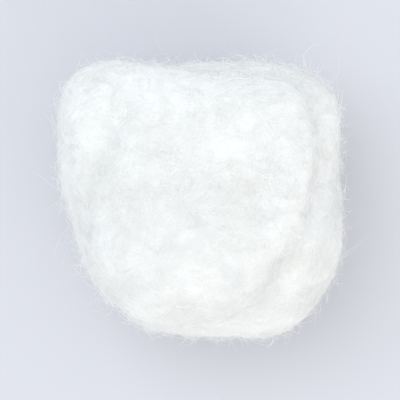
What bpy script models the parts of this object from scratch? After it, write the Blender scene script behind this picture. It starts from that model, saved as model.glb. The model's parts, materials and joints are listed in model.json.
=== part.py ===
"""Cotton ball: a short length of carded cotton, rolled up and tucked into a soft ball.

Metres, +Z up. The roll's axis lies along Y and the loose end of the roll lies on top. The origin is
under the middle of the ball, in the small flat spot that it rests on.
"""

import math

import bmesh
import bpy
from mathutils import Vector, noise

MM = 0.001

# Overall size of the ball as it rests
BALL_WIDTH = 26.5 * MM  # across the roll
BALL_LENGTH = 26.0 * MM  # along the roll's axis
BALL_HEIGHT = 23.5 * MM  # from the surface it rests on to its top
PRESSED_DEPTH = 0.55 * MM  # how much of the underside its weight has pressed flat

# Shape of the roll. A power of 2 is round, and a higher one has flatter sides and fuller corners
BLUNT_SIDE_POWER = 5.0  # the +Y end, where the length was cut, at its two sides
BLUNT_TOP_POWER = 3.3  # the same end over the top of the ball and under it
ROUND_END_POWER = 2.3  # the -Y end, where it was tucked in
END_BLEND = 0.7  # share of the half length over which one end's shape passes into the other's
SIDE_POWER = 2.15  # the section across the roll
NARROWING = 0.12  # share of the width lost towards the -Y end
LEAN = 0.05  # share of the width by which the -Y end lies towards +X
TAPER_START = -0.2  # where both begin, as a share of the half length: 0 is the middle, and 1 is the -Y end

# Edge of the loose end: it runs from end to end over the top, and winds inwards at both ends
EDGE_ANGLE = math.radians(37)  # from the top towards +X
EDGE_SLANT = 0.1  # radians round the roll for each radian of latitude
EDGE_WAVE = 0.16  # radians that it wanders to each side
EDGE_WAVE_RATE = 3.1  # radians of that wander for each radian of latitude
EDGE_WAVE_START = 0.6
EDGE_STEP = 0.8 * MM  # height of the loose end over the turn below it
EDGE_ROUNDING = 1.4 * MM  # half width of its rounded edge
EDGE_GROOVE_DEPTH = 0.75 * MM
EDGE_GROOVE_WIDTH = 1.15 * MM

# Swirl of turns on each end
SWIRL_START = math.radians(45)  # latitude at which the edge begins to wind
SWIRL_BLEND = math.radians(15)  # latitude over which the edge passes into the swirl
SWIRL_TURNS = 1.1
SWIRL_TIGHTENING = 1.5  # a power of 1 winds evenly, and a higher one winds faster towards the middle
SWIRL_GROOVE_DEPTH = 0.6 * MM
SWIRL_STEP = 0.18 * MM  # height of one turn over the next on the ends
SWIRL_FADE_START = math.radians(66)  # latitudes between which the edge dies out in the middle
SWIRL_FADE_END = math.radians(86)
DIMPLE_DEPTH = 1.1 * MM
DIMPLE_WIDTH = 4.6 * MM

# Gathers where the cotton was tucked in at the -Y end
GATHER_COUNT = 7
GATHER_DEPTH = 0.2 * MM
GATHER_LATITUDE = math.radians(-55)
GATHER_SPREAD = math.radians(14)
GATHER_UNEVENNESS = 1.9  # radians by which they crowd together and spread apart

# Uneven filling
LUMP_HEIGHT = 1.0 * MM
LUMP_SIZE = 10.0 * MM
LUMP_PATTERN = Vector((3.1, 7.7, 1.4))
DENT_HEIGHT = 0.3 * MM
DENT_SIZE = 4.5 * MM
DENT_PATTERN = Vector((9.2, 2.3, 5.8))

# Soft creases: angle round the roll from the top, latitude, heading (degrees), length, width, depth
CREASES = (
    (-42, 24, 64, 8.5 * MM, 1.1 * MM, 0.7 * MM),
    (34, -20, -5, 11.0 * MM, 1.05 * MM, 0.5 * MM),
    (-48, -30, 24, 7.0 * MM, 1.1 * MM, 0.45 * MM),
    (84, -6, 80, 10.0 * MM, 1.15 * MM, 0.7 * MM),
    (-92, -12, 66, 11.0 * MM, 1.2 * MM, 0.85 * MM),
    (128, 16, 104, 10.0 * MM, 1.2 * MM, 0.7 * MM),
    (-134, 18, 98, 9.0 * MM, 1.1 * MM, 0.65 * MM),
)
CREASE_BOW = 0.07  # how far a crease bends, as a share of its length
CREASE_SHOULDER = 0.4  # height of the soft swelling beside a crease, as a share of its depth
SHOULDER_DISTANCE = 2.2  # from the crease to the swelling, in crease widths
SHOULDER_WIDTH = 1.3  # in crease widths

# Underside, which the ball's own weight has smoothed
UNDERSIDE_START = 0.74  # share of the half height below which the relief dies out
UNDERSIDE_END = 0.94

# Surface mesh
GRID_STEPS = 28  # cells along each side of the six patches
SOFTENING_PASSES = 3
SOFTENING = 0.5


def smooth_rise(value, start, end):
    """0 up to the start, 1 from the end on, and a smooth rise between."""
    t = min(1.0, max(0.0, (value - start) / (end - start)))
    return t * t * (3 - 2 * t)


def bell(distance, width):
    return math.exp(-((distance / width) ** 2))


def half_turn(angle):
    """The same angle between -pi and +pi."""
    return (angle + math.pi) % math.tau - math.pi


def full_height():
    """Height of the ball before its underside is pressed flat."""
    return BALL_HEIGHT + PRESSED_DEPTH


def mean_radius():
    return (BALL_WIDTH + BALL_LENGTH + full_height()) / 6


def plain_roll(latitude, angle):
    """A point of the roll with no relief, about its own middle."""
    across, along = math.cos(latitude), math.sin(latitude)
    side, up = math.sin(angle), math.cos(angle)
    blunt_power = BLUNT_TOP_POWER + (BLUNT_SIDE_POWER - BLUNT_TOP_POWER) * side**2
    blunt = smooth_rise(along, -END_BLEND, END_BLEND)
    end_power = ROUND_END_POWER + (blunt_power - ROUND_END_POWER) * blunt
    fullness = (abs(across) ** end_power + abs(along) ** end_power) ** (-1 / end_power)
    section = (abs(side) ** SIDE_POWER + abs(up) ** SIDE_POWER) ** (-1 / SIDE_POWER)
    taper = smooth_rise(-along, TAPER_START, 1)
    ring = across * fullness * section * (1 - NARROWING * taper)
    return Vector((
        BALL_WIDTH * (ring * side / 2 + LEAN * taper),
        BALL_LENGTH / 2 * fullness * along,
        full_height() / 2 * ring * up,
    ))


def edge_angle(latitude):
    """Where the loose end's edge lies at a latitude."""
    inward = max(0.0, (abs(latitude) - SWIRL_START) / (math.pi / 2 - SWIRL_START))
    winding = math.tau * SWIRL_TURNS * inward**SWIRL_TIGHTENING
    wander = EDGE_WAVE * math.sin(EDGE_WAVE_RATE * latitude + EDGE_WAVE_START)
    return EDGE_ANGLE + EDGE_SLANT * latitude + wander - winding


def edge_relief(latitude, angle):
    """The loose end stands over the turn below it, and sinks to that turn's height on its way round."""
    apart = half_turn(angle - edge_angle(latitude))
    probe = 0.01
    lean = (edge_angle(latitude + probe) - edge_angle(latitude - probe)) / (2 * probe)  # its slope there
    reach = mean_radius() * math.cos(latitude)
    distance = apart * reach / math.hypot(1, math.cos(latitude) * lean)
    on_end = smooth_rise(abs(latitude), SWIRL_START - SWIRL_BLEND, SWIRL_START + SWIRL_BLEND)
    step = EDGE_STEP + (SWIRL_STEP - EDGE_STEP) * on_end
    rise = step * (0.5 - smooth_rise(distance, -EDGE_ROUNDING, EDGE_ROUNDING) + apart / math.tau)
    depth = EDGE_GROOVE_DEPTH + (SWIRL_GROOVE_DEPTH - EDGE_GROOVE_DEPTH) * on_end
    groove = depth * bell(distance - EDGE_ROUNDING / 2, EDGE_GROOVE_WIDTH)
    return (rise - groove) * (1 - smooth_rise(abs(latitude), SWIRL_FADE_START, SWIRL_FADE_END))


def dimple_relief(latitude):
    """The middle of each swirl lies deeper."""
    from_end = (math.pi / 2 - abs(latitude)) * mean_radius()
    return -DIMPLE_DEPTH * bell(from_end, DIMPLE_WIDTH)


def gather_relief(latitude, angle):
    ripple = math.cos(GATHER_COUNT * angle + GATHER_UNEVENNESS * math.sin(2 * angle))
    return GATHER_DEPTH * ripple * bell(latitude - GATHER_LATITUDE, GATHER_SPREAD)


def crease_relief(latitude, angle, crease):
    at_angle, at_latitude, heading, length, width, depth = crease
    radius = mean_radius()
    x = half_turn(angle - math.radians(at_angle)) * radius * math.cos(latitude)
    y = (latitude - math.radians(at_latitude)) * radius
    turn = math.radians(heading)
    along = x * math.cos(turn) + y * math.sin(turn)
    bow = CREASE_BOW * length * ((2 * along / length) ** 2 - 1)
    across = y * math.cos(turn) - x * math.sin(turn) - bow
    fade = bell(along, length / 2)
    shoulder = CREASE_SHOULDER * bell(abs(across) - SHOULDER_DISTANCE * width, SHOULDER_WIDTH * width)
    return depth * fade * (shoulder - bell(across, width))


def filling_relief(point):
    """Lumps and dents of the uneven filling."""
    lumps = noise.noise(point / LUMP_SIZE + LUMP_PATTERN)
    dents = noise.noise(point / DENT_SIZE + DENT_PATTERN)
    return LUMP_HEIGHT * lumps + DENT_HEIGHT * dents


def relief(latitude, angle, point):
    depth = -2 * point.z / full_height()
    free = 1 - smooth_rise(depth, UNDERSIDE_START, UNDERSIDE_END)
    return free * (
        edge_relief(latitude, angle)
        + dimple_relief(latitude)
        + gather_relief(latitude, angle)
        + sum(crease_relief(latitude, angle, crease) for crease in CREASES)
        + filling_relief(point)
    )


def outward(point):
    """The way out of the plain roll at a point of it."""
    slopes = (point.x / BALL_WIDTH**2, point.y / BALL_LENGTH**2, point.z / full_height() ** 2)
    return Vector(slopes).normalized()


def add_patches(mesh):
    """A cube whose six faces are divided into even cells."""
    bmesh.ops.create_cube(mesh, size=2)
    bmesh.ops.subdivide_edges(mesh, edges=mesh.edges[:], cuts=GRID_STEPS - 1, use_grid_fill=True)


def shape_roll(mesh):
    """Takes each point of the patches to the rolled cotton."""
    for vertex in mesh.verts:
        direction = Vector(math.tan(value * math.pi / 4) for value in vertex.co).normalized()
        latitude = math.asin(direction.y)
        angle = math.atan2(direction.x, direction.z)
        point = plain_roll(latitude, angle)
        vertex.co = point + outward(point) * relief(latitude, angle, point)
    for _ in range(SOFTENING_PASSES):
        bmesh.ops.smooth_vert(
            mesh, verts=mesh.verts, factor=SOFTENING, use_axis_x=True, use_axis_y=True, use_axis_z=True
        )


def corners(mesh):
    low = Vector(min(v.co[i] for v in mesh.verts) for i in range(3))
    high = Vector(max(v.co[i] for v in mesh.verts) for i in range(3))
    return low, high


def fit_to_size(mesh):
    """Brings the uneven ball to its stated size, centred over the origin, with the pressed part below it."""
    low, high = corners(mesh)
    wanted = Vector((BALL_WIDTH, BALL_LENGTH, full_height()))
    bmesh.ops.translate(mesh, verts=mesh.verts, vec=-(low + high) / 2)
    factors = [wanted[i] / (high[i] - low[i]) for i in range(3)]
    bmesh.ops.scale(mesh, verts=mesh.verts, vec=factors)
    bmesh.ops.translate(mesh, verts=mesh.verts, vec=(0, 0, wanted.z / 2 - PRESSED_DEPTH))


def press_flat_spot(mesh):
    """Flattens what lies below the resting surface into one flat spot."""
    geometry = mesh.verts[:] + mesh.edges[:] + mesh.faces[:]
    cut = bmesh.ops.bisect_plane(
        mesh, geom=geometry, dist=0, plane_co=(0, 0, 0), plane_no=(0, 0, -1), clear_outer=True
    )
    rim = [part for part in cut["geom_cut"] if isinstance(part, bmesh.types.BMEdge)]
    bmesh.ops.contextual_create(mesh, geom=rim)
    for edge in rim:
        edge.smooth = False


def bleached_cotton():
    material = bpy.data.materials.new("bleached_cotton")
    material.use_nodes = True
    shader = material.node_tree.nodes["Principled BSDF"]
    shader.inputs["Base Color"].default_value = (0.92, 0.92, 0.90, 1)
    shader.inputs["Roughness"].default_value = 0.95
    shader.inputs["Metallic"].default_value = 0.0
    return material


def make_cotton_ball():
    mesh = bmesh.new()
    add_patches(mesh)
    shape_roll(mesh)
    fit_to_size(mesh)
    press_flat_spot(mesh)
    bmesh.ops.recalc_face_normals(mesh, faces=mesh.faces)
    for face in mesh.faces:
        face.smooth = True
    data = bpy.data.meshes.new("cotton_ball")
    mesh.to_mesh(data)
    mesh.free()
    data.materials.append(bleached_cotton())
    ball = bpy.data.objects.new("cotton_ball", data)
    bpy.context.scene.collection.objects.link(ball)
    return ball


for old in list(bpy.data.objects):
    bpy.data.objects.remove(old)
make_cotton_ball()
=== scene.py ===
import json
import math
import random

import bpy
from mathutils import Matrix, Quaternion, Vector, noise
from mathutils.bvhtree import BVHTree

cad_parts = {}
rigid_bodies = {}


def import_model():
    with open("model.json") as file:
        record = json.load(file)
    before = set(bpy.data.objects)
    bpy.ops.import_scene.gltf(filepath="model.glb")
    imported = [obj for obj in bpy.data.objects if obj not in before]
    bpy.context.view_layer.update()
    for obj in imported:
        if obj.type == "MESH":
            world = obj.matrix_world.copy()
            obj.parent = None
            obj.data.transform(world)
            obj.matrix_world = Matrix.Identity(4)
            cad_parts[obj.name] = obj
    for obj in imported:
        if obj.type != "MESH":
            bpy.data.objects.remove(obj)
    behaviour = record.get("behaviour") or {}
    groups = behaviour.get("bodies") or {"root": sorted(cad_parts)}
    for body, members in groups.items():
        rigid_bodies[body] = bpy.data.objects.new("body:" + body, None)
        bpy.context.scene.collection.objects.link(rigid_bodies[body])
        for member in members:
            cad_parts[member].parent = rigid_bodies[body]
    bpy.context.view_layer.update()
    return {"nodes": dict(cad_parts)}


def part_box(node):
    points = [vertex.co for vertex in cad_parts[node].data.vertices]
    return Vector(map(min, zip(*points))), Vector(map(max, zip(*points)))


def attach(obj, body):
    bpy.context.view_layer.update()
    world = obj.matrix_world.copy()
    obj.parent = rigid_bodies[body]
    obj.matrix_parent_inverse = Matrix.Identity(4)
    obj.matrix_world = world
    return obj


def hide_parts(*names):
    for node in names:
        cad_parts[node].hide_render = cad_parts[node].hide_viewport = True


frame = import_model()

mm = 0.001

lowCorner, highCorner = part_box("cotton_ball")
ballSize = highCorner - lowCorner
ballMiddle = (lowCorner + highCorner) / 2
ballRadius = sum(ballSize) / 6  # a mean one, for patterns that run round the roll


def selectOnly(piece):
    bpy.ops.object.select_all(action="DESELECT")
    piece.select_set(True)
    bpy.context.view_layer.objects.active = piece


def applyModifier(piece, name, kind, **settings):
    modifier = piece.modifiers.new(name, kind)
    for key, value in settings.items():
        setattr(modifier, key, value)
    selectOnly(piece)
    bpy.ops.object.modifier_apply(modifier=name)


def hexColour(code):
    # sRGB hex to the linear colour that the nodes take
    channels = [int(code[i:i + 2], 16) / 255 for i in (1, 3, 5)]
    linear = [c / 12.92 if c <= 0.04045 else ((c + 0.055) / 1.055) ** 2.4 for c in channels]
    return (*linear, 1)


def addNode(tree, kind, settings=None, links=None):
    # settings are the node's own values or its inputs' values, and links are input: (node, output)
    node = tree.nodes.new(kind)
    for key, value in (settings or {}).items():
        if key in node.inputs:
            node.inputs[key].default_value = value
        else:
            setattr(node, key, value)
    for key, (source, output) in (links or {}).items():
        tree.links.new(source.outputs[output], node.inputs[key])
    return node


def newMaterial(name):
    material = bpy.data.materials.new(name)
    material.use_nodes = True
    material.node_tree.nodes.clear()
    return material, material.node_tree


# The cotton is wound round the Y axis. Latitude and angle say where a point is on the roll
def rollPlace(point):
    away = point - ballMiddle
    angle = math.atan2(away.x, away.z)
    latitude = math.atan2(away.y, math.hypot(away.x, away.z))
    return latitude, angle


# Streaks of the carded web are long round the roll, and narrow across it
def streakNoise(point, width, length):
    latitude, angle = rollPlace(point)
    reach = math.cos(latitude) * ballRadius / length
    across = latitude * ballRadius / width
    return noise.noise(Vector((math.sin(angle) * reach, math.cos(angle) * reach, across)))


# The web dips where one fold meets the next: what lies under a much smoothed copy goes down further
def deepenFolds(body, s):
    broad = body.copy()
    broad.data = body.data.copy()
    bpy.context.scene.collection.objects.link(broad)
    applyModifier(broad, "broad", "SMOOTH", factor=s["smoothFactor"], iterations=s["foldBreadth"])
    normals = [vertex.normal.copy() for vertex in body.data.vertices]
    for vertex, smoothed, normal in zip(body.data.vertices, broad.data.vertices, normals):
        dip = min(0, (vertex.co - smoothed.co).dot(normal) + s["foldStart"])
        vertex.co += normal * dip * s["foldDeepening"]
    bpy.data.objects.remove(broad)


bodyShape = {
    "seed": 7,               # without one, the vector noise starts from the clock
    "merge": 0.001 * mm,     # joins the frame's loose triangles
    "voxel": 0.38 * mm,
    "smoothFactor": 0.5,     # of every smoothing pass
    "smoothing": 5,          # passes that take the solid's facets away
    "foldBreadth": 30,       # passes on the copy that the folds are measured from
    "foldStart": 0.1 * mm,   # how far under that copy a fold begins
    "foldDeepening": 2.6,
    "evening": 2,            # passes that round the deepened folds
    "sink": 0.3 * mm,        # the fibres on top bring the surface back out to the frame
    "warp": 1.6 * mm,        # how far the streaks wander
    "warpSize": 5.0 * mm,
    # width, length and height of the broad and the fine streaks
    "streaks": [
        (1.5 * mm, 6.0 * mm, 0.07 * mm),
        (0.6 * mm, 3.5 * mm, 0.04 * mm),
    ],
    "clumpSize": 2.4 * mm,
    "clumpHeight": 0.06 * mm,
    "clearance": 0.02 * mm,  # over the surface that the ball rests on
}


def makeBody(s):
    cadNode = frame["nodes"]["cotton_ball"]
    body = bpy.data.objects.new("cotton_body", cadNode.data.copy())
    bpy.context.scene.collection.objects.link(body)
    selectOnly(body)
    bpy.ops.object.mode_set(mode="EDIT")
    bpy.ops.mesh.select_all(action="SELECT")
    bpy.ops.mesh.remove_doubles(threshold=s["merge"])
    bpy.ops.object.mode_set(mode="OBJECT")
    applyModifier(body, "remesh", "REMESH", mode="VOXEL", voxel_size=s["voxel"])
    applyModifier(body, "smooth", "SMOOTH", factor=s["smoothFactor"], iterations=s["smoothing"])
    deepenFolds(body, s)
    applyModifier(body, "even", "SMOOTH", factor=s["smoothFactor"], iterations=s["evening"])
    applyModifier(body, "subdivide", "SUBSURF", levels=1, render_levels=1)
    noise.seed_set(s["seed"])
    normals = [vertex.normal.copy() for vertex in body.data.vertices]
    for vertex, normal in zip(body.data.vertices, normals):
        point = vertex.co.copy()
        wandering = point + s["warp"] * noise.noise_vector(point / s["warpSize"])
        height = -s["sink"]
        for width, length, tall in s["streaks"]:
            height += tall * streakNoise(wandering, width, length)
        height += s["clumpHeight"] * noise.noise(point / s["clumpSize"])
        vertex.co = point + normal * height
        vertex.co.z = max(vertex.co.z, lowCorner.z + s["clearance"])
    body.data.materials.clear()
    bpy.ops.object.shade_smooth()
    print("body:", len(body.data.polygons), "faces")
    return body


def randomVector(rng):
    return Vector([rng.gauss(0, 1) for _ in range(3)])


# One fibre's way over the ball: it runs with the lay of the roll, rising from the body and back into it
def layFibre(surface, rng, s):
    point, normal = surface.ray_cast(ballMiddle, randomVector(rng).normalized())[:2]
    away = point - ballMiddle
    heading = Vector((away.z, 0, -away.x))  # round the roll
    swerve = s["swerve"] * noise.noise(point / s["swerveSize"]) + rng.gauss(0, s["stray"])
    if rng.random() < s["crossing"]:
        swerve += rng.uniform(-math.pi / 2, math.pi / 2)
    heading.rotate(Quaternion(normal, swerve))
    length = rng.uniform(*s["length"])
    step = length / (s["points"] - 1)
    bend = rng.gauss(0, s["bend"])
    base = rng.uniform(*s["base"])
    bow = rng.uniform(*s["bow"])
    path = []
    for i in range(s["points"]):
        along = i / (s["points"] - 1)
        lift = base + bow * math.sin(math.pi * along)
        path.append(point + normal * lift)
        heading = heading - normal * heading.dot(normal)
        heading.normalize()
        heading.rotate(Quaternion(normal, bend + rng.gauss(0, s["wriggle"])))
        point, normal = surface.find_nearest(point + heading * step)[:2]
    return path


# A fibre that stands out of the surface and curls
def curlFibre(surface, rng, s):
    point, normal = surface.ray_cast(ballMiddle, randomVector(rng).normalized())[:2]
    sideways = randomVector(rng)
    sideways = (sideways - normal * sideways.dot(normal)).normalized()
    rise = math.radians(rng.uniform(*s["rise"]))
    heading = sideways * math.cos(rise) + normal * math.sin(rise)
    axis = normal.cross(sideways)
    axis.rotate(Quaternion(sideways, rng.gauss(0, s["skew"])))
    length = rng.uniform(*s["length"])
    step = length / (s["points"] - 1)
    turn = math.radians(rng.uniform(*s["curl"])) / (s["points"] - 1)
    place = point - normal * s["root"]
    path = [place.copy()]
    for _ in range(s["points"] - 1):
        place += heading * step
        path.append(place.copy())
        heading.rotate(Quaternion(axis, turn * rng.uniform(*s["uneven"])))
    return path


# Every fibre is a three-sided thread that thins towards both ends
thread = {
    "sides": 3,
    "tip": 0.3,    # share of the thickness that is left at the ends
    "taper": 0.5,  # a power: the lower it is, the longer the thick part
}


# The outline that is swept along each fibre
def makeSection(name, radius, t):
    outline = bpy.data.curves.new(name, "CURVE")
    outline.dimensions = "2D"
    corners = outline.splines.new("POLY")
    corners.points.add(t["sides"] - 1)
    for i, corner in enumerate(corners.points):
        angle = -math.tau * i / t["sides"]
        corner.co = (radius * math.cos(angle), radius * math.sin(angle), 0, 1)
    corners.use_cyclic_u = True
    section = bpy.data.objects.new(name, outline)
    bpy.context.scene.collection.objects.link(section)
    return section


def makeFibres(name, surface, grow, s, t):
    rng = random.Random(s["seed"])
    section = makeSection(name + "_section", s["thickness"] / 2, t)
    curve = bpy.data.curves.new(name, "CURVE")
    curve.dimensions = "3D"
    curve.bevel_mode = "OBJECT"
    curve.bevel_object = section
    curve.use_fill_caps = True
    floor = lowCorner.z + s["thickness"]
    for _ in range(s["count"]):
        path = grow(surface, rng, s)
        last = len(path) - 1
        spline = curve.splines.new("POLY")
        spline.points.add(last)
        for i, place in enumerate(path):
            spline.points[i].co = (place.x, place.y, max(place.z, floor), 1)
            spline.points[i].radius = t["tip"] + (1 - t["tip"]) * math.sin(math.pi * i / last) ** t["taper"]
    fibres = bpy.data.objects.new(name, curve)
    bpy.context.scene.collection.objects.link(fibres)
    selectOnly(fibres)
    bpy.ops.object.convert(target="MESH")
    bpy.data.objects.remove(section)
    bpy.ops.object.shade_smooth()
    triangles = sum(len(face.vertices) - 2 for face in fibres.data.polygons)
    print(name + ":", s["count"], "fibres,", triangles, "triangles")
    return fibres


# Real cotton fibres are 0.012 to 0.02 mm thick. They are drawn about twice as coarse, so that they show
combedFibres = {
    "seed": 11,
    "count": 6100,
    "points": 6,
    "thickness": 0.034 * mm,
    "length": (3.0 * mm, 6.5 * mm),
    "swerve": 1.3,            # radians that whole wisps lean to one side
    "swerveSize": 4.0 * mm,
    "stray": 0.35,            # radians that a fibre leans from its wisp
    "crossing": 0.2,          # share of fibres that lie any way
    "bend": 0.2,              # radians at each point, the same all along a fibre
    "wriggle": 0.22,          # radians at each point, new each time
    "base": (-0.03 * mm, 0.03 * mm),
    "bow": (0.0 * mm, 0.1 * mm),
}
webFibres = {
    "seed": 12,
    "count": 7400,
    "points": 5,
    "thickness": 0.03 * mm,
    "length": (1.6 * mm, 3.8 * mm),
    "swerve": 1.0,
    "swerveSize": 6.0 * mm,
    "stray": 0.6,
    "crossing": 0.5,
    "bend": 0.4,
    "wriggle": 0.35,
    "base": (-0.02 * mm, 0.05 * mm),
    "bow": (0.01 * mm, 0.16 * mm),
}
nearFuzz = {
    "seed": 21,
    "count": 6100,
    "points": 6,
    "thickness": 0.026 * mm,
    "length": (1.0 * mm, 2.4 * mm),
    "rise": (5, 40),          # degrees at which it leaves the surface
    "curl": (60, 220),        # degrees that it turns back over its length
    "uneven": (0.6, 1.4),     # the turn at each point, as a share of the mean one
    "skew": 0.8,              # radians that the curl leans out of its plane
    "root": 0.08 * mm,        # how deep in the body it starts
}
farFuzz = dict(nearFuzz, seed=22, length=(1.3 * mm, 2.8 * mm), rise=(10, 50))
flyaway = dict(nearFuzz, seed=23, count=400, points=10, thickness=0.024 * mm)
flyaway.update({"length": (2.5 * mm, 5.5 * mm), "rise": (10, 50), "curl": (120, 300)})


# Cotton isn't quite even: it goes in faint clouds from one tint to the other
def addClouds(tree, place, s):
    cloud = addNode(
        tree,
        "ShaderNodeTexNoise",
        {"Scale": 1 / s["cloudSize"], "Detail": 2.0},
        {"Vector": (place, "Object")},
    )
    tint = addNode(tree, "ShaderNodeValToRGB", links={"Fac": (cloud, "Fac")})
    for element, position, colour in zip(tint.color_ramp.elements, s["cloudEdges"], s["tints"]):
        element.position = position
        element.color = hexColour(colour)
    return tint


bodyFinishAndPaintedShade = {
    # The body's light grey, a little under the fibres' white, is painted shade: it stands in for the shade
    # deep in the fibre mass, so the body shows as dark as the shaded fibre layer over it. The faint clouds
    # between the two tints are the cotton's own uneven tone
    "tints": ("#EEEEED", "#F1F1F1"),
    "cloudSize": 7 * mm,
    "cloudEdges": (0.35, 0.65),
    "napSize": 0.35 * mm,    # much coarser than the real fibres, which wouldn't show
    "napHeight": 0.12 * mm,
    "napStrength": 0.2,
    "lightDepth": 1.2 * mm,  # how far light goes in
}


# Bleached carded cotton: washed fibres combed into a web. The eye sees a dull, even white with a soft
# edge, because light goes a little way in between the fibres and comes out again
def cottonBodyMaterial(s):
    material, tree = newMaterial("bleachedCardedCotton")
    place = addNode(tree, "ShaderNodeTexCoord")
    tint = addClouds(tree, place, s)
    nap = addNode(
        tree,
        "ShaderNodeTexNoise",
        {"Scale": 1 / s["napSize"], "Detail": 3.0},
        {"Vector": (place, "Object")},
    )
    bump = addNode(
        tree,
        "ShaderNodeBump",
        {"Strength": s["napStrength"], "Distance": s["napHeight"]},
        {"Height": (nap, "Fac")},
    )
    shader = addNode(
        tree,
        "ShaderNodeBsdfPrincipled",
        {
            "Roughness": 0.95,
            "Specular IOR Level": 0.25,
            "Subsurface Weight": 0.8,
            "Subsurface Radius": (1.0, 0.95, 0.9),
            "Subsurface Scale": s["lightDepth"],
            "Sheen Weight": 0.3,
            "Sheen Roughness": 0.5,
        },
        {"Base Color": (tint, "Color"), "Normal": (bump, "Normal")},
    )
    addNode(tree, "ShaderNodeOutputMaterial", links={"Surface": (shader, "BSDF")})
    return material


fibreFinish = {
    "tints": ("#FDFDFC", "#FFFFFF"),
    "cloudSize": 2.5 * mm,
    "cloudEdges": (0.35, 0.65),
}


# Single bleached fibres: pale and dull, so that together they read as one soft white
def cottonFibreMaterial(s):
    material, tree = newMaterial("bleachedCottonFibre")
    place = addNode(tree, "ShaderNodeTexCoord")
    tint = addClouds(tree, place, s)
    shader = addNode(
        tree,
        "ShaderNodeBsdfPrincipled",
        {"Roughness": 0.95, "Specular IOR Level": 0.1},
        {"Base Color": (tint, "Color")},
    )
    addNode(tree, "ShaderNodeOutputMaterial", links={"Surface": (shader, "BSDF")})
    return material


def dressPiece(piece, material):
    piece.data.materials.clear()
    piece.data.materials.append(material)
    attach(piece, "root")


body = makeBody(bodyShape)
corners = [vertex.co for vertex in body.data.vertices]
faces = [tuple(face.vertices) for face in body.data.polygons]
surface = BVHTree.FromPolygons(corners, faces)
pieces = {
    "combed_fibres": (layFibre, combedFibres),
    "web_fibres": (layFibre, webFibres),
    "near_fuzz": (curlFibre, nearFuzz),
    "far_fuzz": (curlFibre, farFuzz),
    "flyaway_fibres": (curlFibre, flyaway),
}
fibreMaterial = cottonFibreMaterial(fibreFinish)
for name, (grow, settings) in pieces.items():
    dressPiece(makeFibres(name, surface, grow, settings, thread), fibreMaterial)
dressPiece(body, cottonBodyMaterial(bodyFinishAndPaintedShade))
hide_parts("cotton_ball")
print("cotton dressed")


# Plain pale floor
floorSettings = {"size": 2.0, "colour": "#D0D0D7", "roughness": 0.9}


def makeFloor(s):
    bpy.ops.mesh.primitive_plane_add(size=s["size"], location=(0, 0, lowCorner.z))
    floor = bpy.context.object
    floor.name = "floor"
    material, tree = newMaterial("matteBackdropPaper")
    shader = addNode(
        tree,
        "ShaderNodeBsdfPrincipled",
        {"Base Color": hexColour(s["colour"]), "Roughness": s["roughness"]},
    )
    addNode(tree, "ShaderNodeOutputMaterial", links={"Surface": (shader, "BSDF")})
    floor.data.materials.append(material)


makeFloor(floorSettings)

lighting = {
    "worldColour": "#F8FCFF",
    "worldStrength": 0.985,
    "backdrop": "#D1D5DB",  # what is seen past the floor, in the tone of the floor's far end
    "bounces": 12,          # light passes between white fibres many times before it leaves the cotton
    # place from the ball's middle, size, watts, colour
    "key": ((-0.24, 0.19, 0.68), 0.55, 1.65, "#F8FFFF"),
    "fill": ((0.3, -0.55, 0.34), 0.6, 1.2, "#FFF3E0"),
}


def addLamp(name, offset, size, power, colour):
    lamp = bpy.data.lights.new(name, "AREA")
    lamp.size = size
    lamp.energy = power
    lamp.color = hexColour(colour)[:3]
    holder = bpy.data.objects.new(name, lamp)
    bpy.context.scene.collection.objects.link(holder)
    holder.location = ballMiddle + Vector(offset)
    holder.rotation_euler = (-Vector(offset)).to_track_quat("-Z", "Y").to_euler()


# The world lights the ball. The camera, and whatever gloss would show, sees the plain backdrop in its place
def lightScene(s):
    world = bpy.data.worlds.new("softDaylight")
    bpy.context.scene.world = world
    world.use_nodes = True
    tree = world.node_tree
    tree.nodes.clear()
    ray = addNode(tree, "ShaderNodeLightPath")
    mirrored = addNode(
        tree,
        "ShaderNodeMath",
        {"operation": "MAXIMUM"},
        {0: (ray, "Is Glossy Ray"), 1: (ray, "Is Transmission Ray")},
    )
    seen = addNode(
        tree,
        "ShaderNodeMath",
        {"operation": "MAXIMUM"},
        {0: (ray, "Is Camera Ray"), 1: (mirrored, 0)},
    )
    light = addNode(
        tree,
        "ShaderNodeBackground",
        {"Color": hexColour(s["worldColour"]), "Strength": s["worldStrength"]},
    )
    backdrop = addNode(
        tree,
        "ShaderNodeBackground",
        {"Color": hexColour(s["backdrop"]), "Strength": 1.0},
    )
    mix = addNode(tree, "ShaderNodeMixShader", links={"Fac": (seen, 0), 1: (light, 0), 2: (backdrop, 0)})
    addNode(tree, "ShaderNodeOutputWorld", links={"Surface": (mix, 0)})
    addLamp("key", *s["key"])
    addLamp("fill", *s["fill"])
    bpy.context.scene.cycles.diffuse_bounces = s["bounces"]


lightScene(lighting)

# The photograph looks straight at the ball, and here that is straight down on it
cameraSettings = {
    "lens": 200,
    "sensor": 36,
    "ballShare": 0.72,  # of the picture's width
    "nearest": 1 * mm,  # that it sees
}


def placeCamera(s):
    camera = bpy.data.cameras.new("camera")
    camera.lens = s["lens"]
    camera.sensor_width = s["sensor"]
    camera.clip_start = s["nearest"]
    holder = bpy.data.objects.new("camera", camera)
    bpy.context.scene.collection.objects.link(holder)
    distance = ballSize.x / s["ballShare"] * s["lens"] / s["sensor"]
    holder.location = ballMiddle + Vector((0, 0, distance))
    bpy.context.scene.camera = holder


placeCamera(cameraSettings)
bpy.context.scene.view_settings.view_transform = "Standard"
print("floor, lamps and camera placed")
